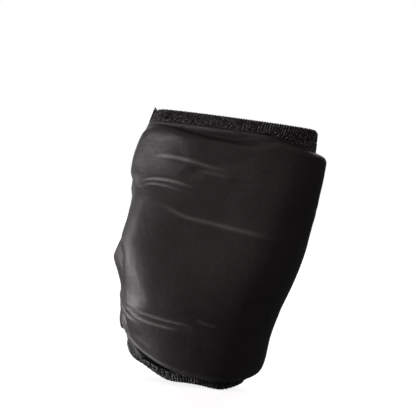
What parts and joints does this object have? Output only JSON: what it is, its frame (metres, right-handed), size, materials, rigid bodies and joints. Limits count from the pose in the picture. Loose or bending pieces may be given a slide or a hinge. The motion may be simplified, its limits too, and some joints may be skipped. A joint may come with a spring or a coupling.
{
  "type": "padded palm sleeve",
  "caption": "Fingerless stretch-knit hand grip: a foam-padded palm, a single-layer back, overlocked finger and wrist hems and a thumb hole, in its worn shape.",
  "frame": {"origin": "middle of the wrist opening, 1.3 mm above the lowest point of its hem", "axes": "+Z from the wrist to the fingers, the palm faces -Y, the thumb side is -X"},
  "size_m": [0.0969, 0.0492, 0.1263],
  "materials": {
    "palm_knit": "smooth black stretch knit with a soft satin sheen",
    "lining_knit": "matt black stretch knit",
    "back_knit": "smooth black stretch knit with a soft satin sheen",
    "foam": "closed-cell foam sheet",
    "thread": "textured black polyester thread"
  },
  "bodies": {
    "root": {"palm_cover": "palm_knit", "palm_pad": "foam", "palm_lining": "lining_knit", "back_panel": "back_knit", "finger_hem_upper_looper": "thread", "finger_hem_lower_looper": "thread", "finger_hem_needle_thread": "thread", "wrist_hem_upper_looper": "thread", "wrist_hem_lower_looper": "thread", "wrist_hem_needle_thread": "thread", "cover_edge_overlock": "thread", "little_finger_seam_thread": "thread", "thumb_seam_upper_thread": "thread", "thumb_seam_lower_thread": "thread", "thumb_hole_stitch": "thread", "thumb_hole_upper_bartack": "thread", "thumb_hole_lower_bartack": "thread"}
  },
  "joints": []
}
